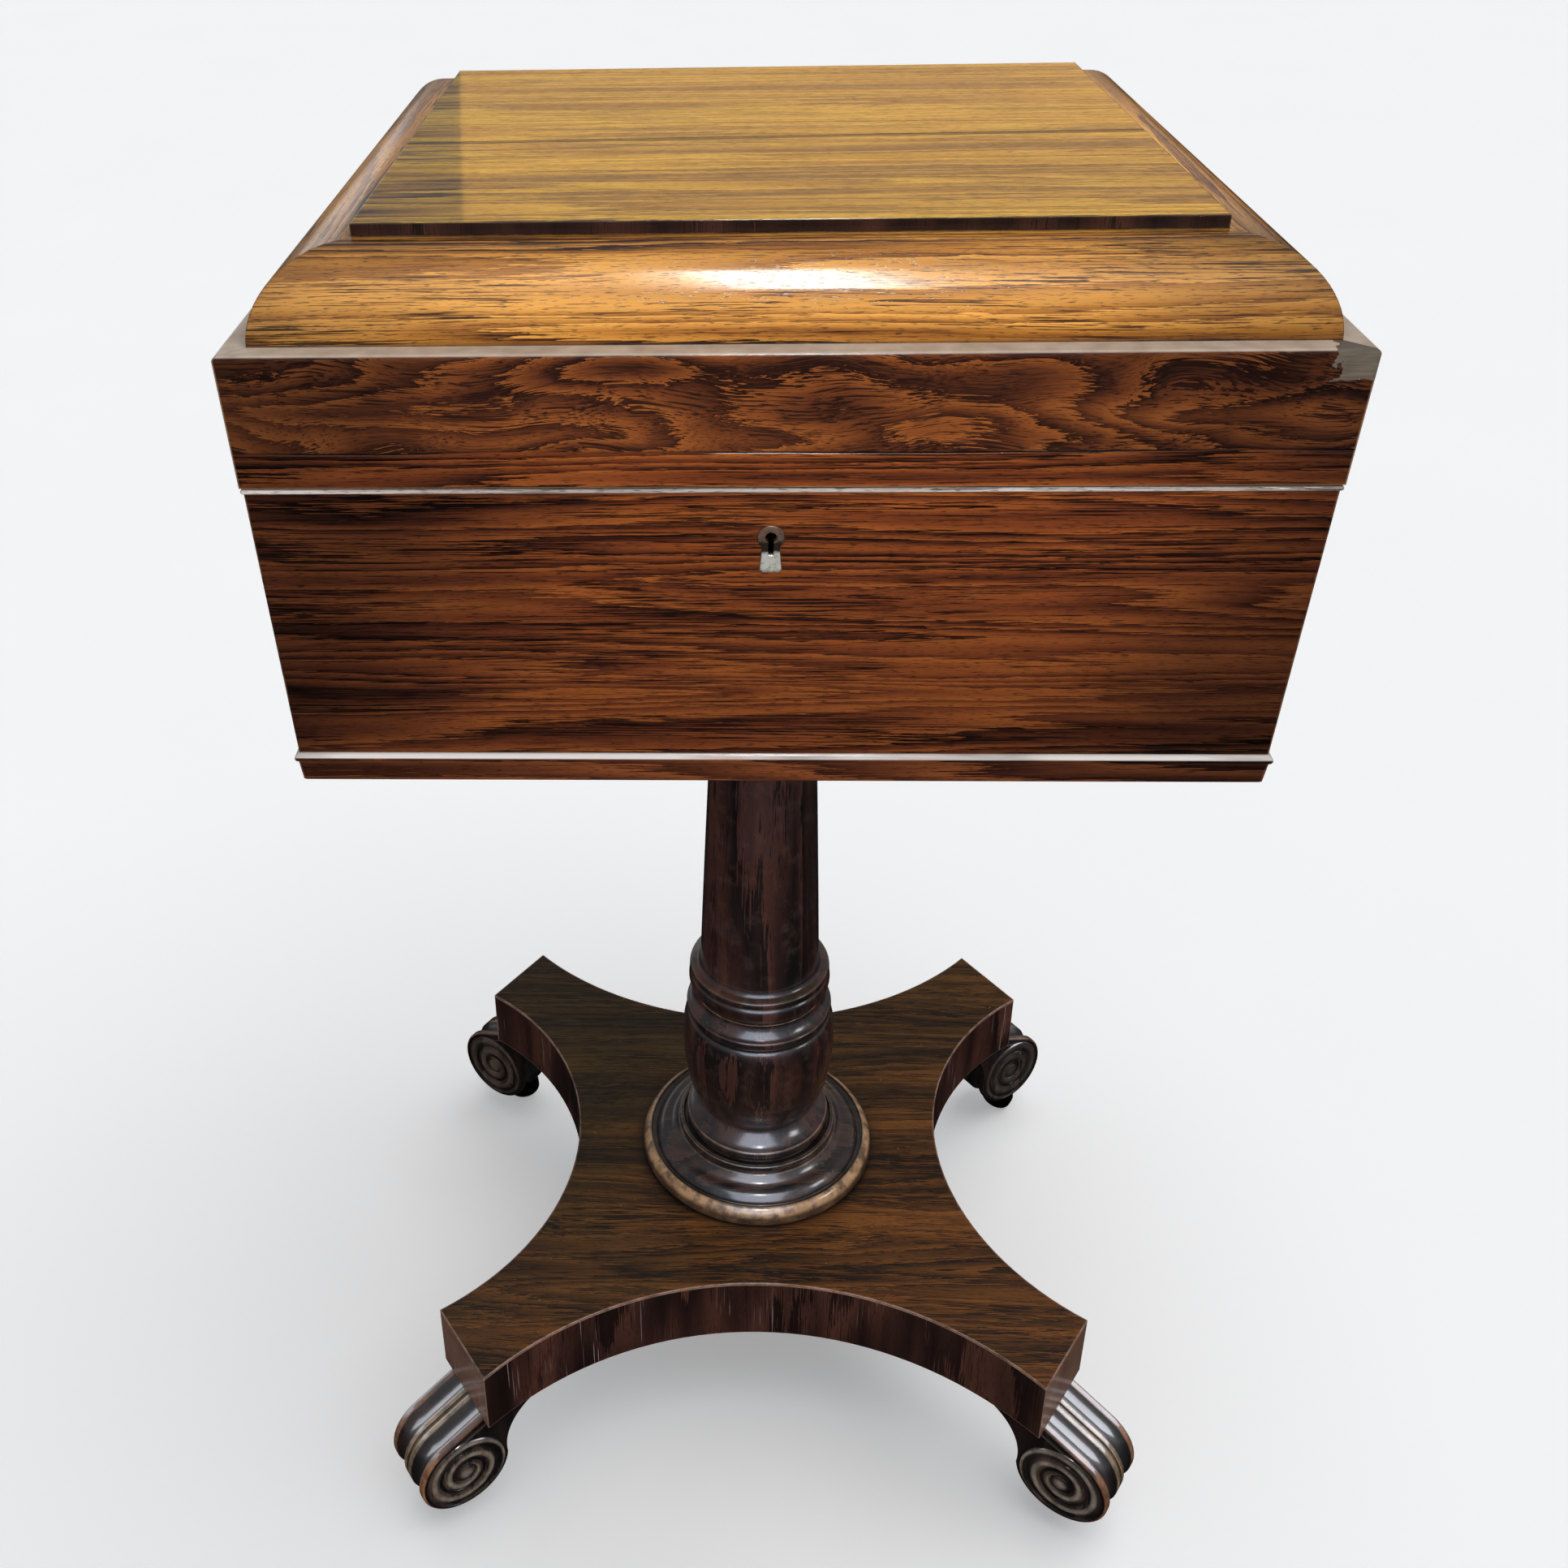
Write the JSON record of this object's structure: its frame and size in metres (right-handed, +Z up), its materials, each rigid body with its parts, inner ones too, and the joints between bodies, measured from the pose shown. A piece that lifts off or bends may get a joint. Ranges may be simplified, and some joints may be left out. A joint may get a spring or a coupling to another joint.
{
  "type": "teapoy",
  "caption": "Tea chest with a hinged cushion-moulded lid, on a turned column, a concave-sided platform and reeded scroll feet on castors.",
  "frame": {"origin": "on the floor, under the axis of the column", "axes": "+Z up, front with the keyhole towards -Y, +X to the right seen from the front"},
  "size_m": [0.445, 0.4189, 0.787],
  "materials": {
    "rosewood_figured": "French-polished rosewood veneer",
    "rosewood_straight": "French-polished rosewood veneer, straight grain",
    "rosewood_top": "French-polished faded rosewood veneer",
    "rosewood_dark": "polished solid rosewood, turned",
    "rosewood_base": "French-polished rosewood veneer",
    "rosewood_carved": "polished carved rosewood, worn on the ridges",
    "carcass_wood": "plain mahogany, waxed",
    "brass": "aged lacquered brass",
    "steel": "aged iron",
    "glass": "blown clear glass",
    "tin_foil": "dull tinned lining"
  },
  "bodies": {
    "stand": {"base_moulding": "rosewood_straight", "bearer_block": "carcass_wood", "bearer_screws": "steel", "body_back": "rosewood_straight", "body_front": "rosewood_straight", "body_left": "rosewood_straight", "body_right": "rosewood_straight", "bottom_board": "carcass_wood", "bowl_deck": "carcass_wood", "canister_back_left": "rosewood_straight", "canister_back_right": "rosewood_straight", "canister_front_left": "rosewood_straight", "canister_front_right": "rosewood_straight", "canister_lid_pins": "brass", "canister_linings": "tin_foil", "castor_plates": "brass", "column": "rosewood_dark", "divider_left": "carcass_wood", "divider_right": "carcass_wood", "foot_dowels": "carcass_wood", "glass_bowl_back": "glass", "glass_bowl_front": "glass", "hinge_leaves_lower": "brass", "hinge_pins": "brass", "hinge_screws_lower": "brass", "keyhole_escutcheon": "brass", "lock_case": "brass", "platform_core": "rosewood_base", "platform_top_veneer": "rosewood_base", "rim_bead": "rosewood_straight", "scroll_foot_back_left": "rosewood_carved", "scroll_foot_back_right": "rosewood_carved", "scroll_foot_front_left": "rosewood_carved", "scroll_foot_front_right": "rosewood_carved", "turned_disc": "rosewood_dark"},
    "lid": {"cushion_moulding": "rosewood_figured", "hinge_leaves_upper": "brass", "hinge_screws_upper": "brass", "lid_frieze_back": "rosewood_figured", "lid_frieze_front": "rosewood_figured", "lid_frieze_left": "rosewood_figured", "lid_frieze_right": "rosewood_figured", "lid_top_board": "carcass_wood", "lid_top_panel": "rosewood_top", "strike_plate": "brass", "strike_staples": "brass"},
    "lock_bolt": {"lock_bolt": "steel"},
    "canister_lid_back_left": {"canister_lid_back_left": "rosewood_straight"},
    "canister_lid_back_right": {"canister_lid_back_right": "rosewood_straight"},
    "canister_lid_front_left": {"canister_lid_front_left": "rosewood_straight"},
    "canister_lid_front_right": {"canister_lid_front_right": "rosewood_straight"},
    "castor_fork_back_left": {"castor_fork_back_left": "brass"},
    "castor_fork_back_right": {"castor_fork_back_right": "brass"},
    "castor_fork_front_left": {"castor_fork_front_left": "brass"},
    "castor_fork_front_right": {"castor_fork_front_right": "brass"},
    "castor_wheel_back_left": {"castor_wheel_back_left": "brass"},
    "castor_wheel_back_right": {"castor_wheel_back_right": "brass"},
    "castor_wheel_front_left": {"castor_wheel_front_left": "brass"},
    "castor_wheel_front_right": {"castor_wheel_front_right": "brass"}
  },
  "joints": [
    {"name": "lid_hinge", "type": "hinge", "parent": "stand", "child": "lid", "pos_m": [0, 0.20739, 0.69375], "axis": [-1, 0, 0], "range_deg": [0, 95]},
    {"name": "lock_bolt_slide", "type": "slide", "parent": "stand", "child": "lock_bolt", "axis": [1, 0, 0], "range_m": [0, 0.005]},
    {"name": "canister_hinge_front_left", "type": "hinge", "parent": "stand", "child": "canister_lid_front_left", "pos_m": [-0.1153, -0.0939, 0.6836], "axis": [0, 1, 0], "range_deg": [0, 90]},
    {"name": "canister_hinge_front_right", "type": "hinge", "parent": "stand", "child": "canister_lid_front_right", "pos_m": [0.1153, -0.0939, 0.6836], "axis": [0, -1, 0], "range_deg": [0, 90]},
    {"name": "canister_hinge_back_left", "type": "hinge", "parent": "stand", "child": "canister_lid_back_left", "pos_m": [-0.1153, 0.0939, 0.6836], "axis": [0, 1, 0], "range_deg": [0, 90]},
    {"name": "canister_hinge_back_right", "type": "hinge", "parent": "stand", "child": "canister_lid_back_right", "pos_m": [0.1153, 0.0939, 0.6836], "axis": [0, -1, 0], "range_deg": [0, 90]},
    {"name": "castor_swivel_front_left", "type": "hinge", "parent": "stand", "child": "castor_fork_front_left", "pos_m": [-0.18757, -0.17238, 0.0273], "axis": [0, 0, 1], "continuous": true},
    {"name": "castor_roll_front_left", "type": "hinge", "parent": "castor_fork_front_left", "child": "castor_wheel_front_left", "pos_m": [-0.18501, -0.16533, 0.012], "axis": [-0.9397, 0.342, 0], "continuous": true},
    {"name": "castor_swivel_front_right", "type": "hinge", "parent": "stand", "child": "castor_fork_front_right", "pos_m": [0.18757, -0.17238, 0.0273], "axis": [0, 0, 1], "continuous": true},
    {"name": "castor_roll_front_right", "type": "hinge", "parent": "castor_fork_front_right", "child": "castor_wheel_front_right", "pos_m": [0.18501, -0.16533, 0.012], "axis": [-0.9397, -0.342, 0], "continuous": true},
    {"name": "castor_swivel_back_left", "type": "hinge", "parent": "stand", "child": "castor_fork_back_left", "pos_m": [-0.18757, 0.17238, 0.0273], "axis": [0, 0, 1], "continuous": true},
    {"name": "castor_roll_back_left", "type": "hinge", "parent": "castor_fork_back_left", "child": "castor_wheel_back_left", "pos_m": [-0.18024, 0.17394, 0.012], "axis": [-0.2079, 0.9781, 0], "continuous": true},
    {"name": "castor_swivel_back_right", "type": "hinge", "parent": "stand", "child": "castor_fork_back_right", "pos_m": [0.18757, 0.17238, 0.0273], "axis": [0, 0, 1], "continuous": true},
    {"name": "castor_roll_back_right", "type": "hinge", "parent": "castor_fork_back_right", "child": "castor_wheel_back_right", "pos_m": [0.19393, 0.1684, 0.012], "axis": [0.5299, 0.848, 0], "continuous": true}
  ]
}
